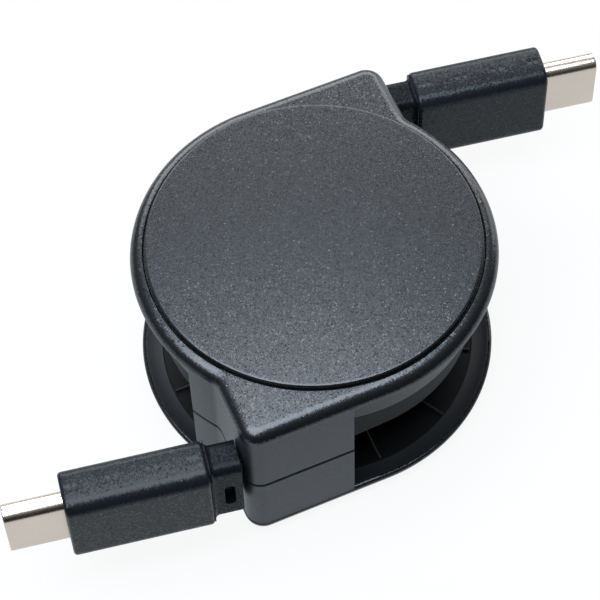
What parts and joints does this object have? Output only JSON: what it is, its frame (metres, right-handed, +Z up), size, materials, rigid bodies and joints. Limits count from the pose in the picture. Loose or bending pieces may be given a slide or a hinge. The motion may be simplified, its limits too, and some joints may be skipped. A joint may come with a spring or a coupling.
{
  "type": "retractable charging cable",
  "caption": "Round charging cable reel: a sprung reel of flat cable in a twin-cover case, with a pull-out plug at each side that winds back in.",
  "frame": {"origin": "on the case axis, at the resting face under the lower disc", "axes": "+X along plug B, the way it pulls out, -X along plug A, +Z up along the case axis"},
  "size_m": [0.0802, 0.0486, 0.0226],
  "materials": {
    "case_plastic": "fine spark-eroded texture, charcoal",
    "disc_plastic": "fine spark-eroded texture, charcoal",
    "reel_plastic": "smooth moulded, charcoal",
    "cable_jacket": "smooth matt flat jacket",
    "grip_plastic": "coarse spark-eroded texture, blue charcoal",
    "relief_rubber": "coarse moulded texture",
    "shell_nickel": "drawn and nickel plated",
    "carrier_plastic": "plain moulded, black",
    "contact_gold": "gold flash plated",
    "board_laminate": "glass epoxy with green resist",
    "spring_steel": "blued strip",
    "ball_steel": "polished",
    "screw_steel": "zinc plated"
  },
  "bodies": {
    "case": {"lower_cover": "case_plastic", "upper_cover": "case_plastic", "lower_disc": "disc_plastic", "upper_disc": "disc_plastic", "case_screw": "screw_steel", "cable_run_a": "cable_jacket", "cable_run_b": "cable_jacket"},
    "reel": {"reel_drum": "reel_plastic", "spring_barrel": "reel_plastic", "barrel_lid": "reel_plastic", "cable_coil": "cable_jacket", "main_spring": "spring_steel"},
    "lock_ball": {"lock_ball": "ball_steel"},
    "plug_a": {"plug_grip_a": "grip_plastic", "strain_relief_a": "relief_rubber", "connector_shell_a": "shell_nickel", "contact_carrier_a": "carrier_plastic", "contacts_a": "contact_gold", "paddle_board_a": "board_laminate"},
    "plug_b": {"plug_grip_b": "grip_plastic", "strain_relief_b": "relief_rubber", "connector_shell_b": "shell_nickel", "contact_carrier_b": "carrier_plastic", "contacts_b": "contact_gold", "paddle_board_b": "board_laminate"}
  },
  "joints": [
    {"name": "reel_spin", "type": "hinge", "parent": "case", "child": "reel", "pos_m": [0, 0, 0.01218], "axis": [0, 0, -1], "range_deg": [0, 1440], "stiffness_Nm_per_rad": 0.0003, "springref_deg": -572.96, "deforming": ["main_spring"]},
    {"name": "plug_a_slide", "type": "slide", "parent": "case", "child": "plug_a", "axis": [-1, 0, 0], "range_m": [0, 0.332], "deforming": ["cable_run_a"]},
    {"name": "plug_b_slide", "type": "slide", "parent": "case", "child": "plug_b", "axis": [1, 0, 0], "range_m": [0, 0.332], "deforming": ["cable_run_b"]},
    {"name": "lock_ball_slide", "type": "slide", "parent": "case", "child": "lock_ball", "axis": [0.9854, 0.1702, 0], "range_m": [0, 0.0011]}
  ],
  "couplings": [
    {"joint": "plug_a_slide", "follows": "reel_spin", "m_per_rad": 0.0132},
    {"joint": "plug_b_slide", "follows": "reel_spin", "m_per_rad": 0.0132}
  ]
}
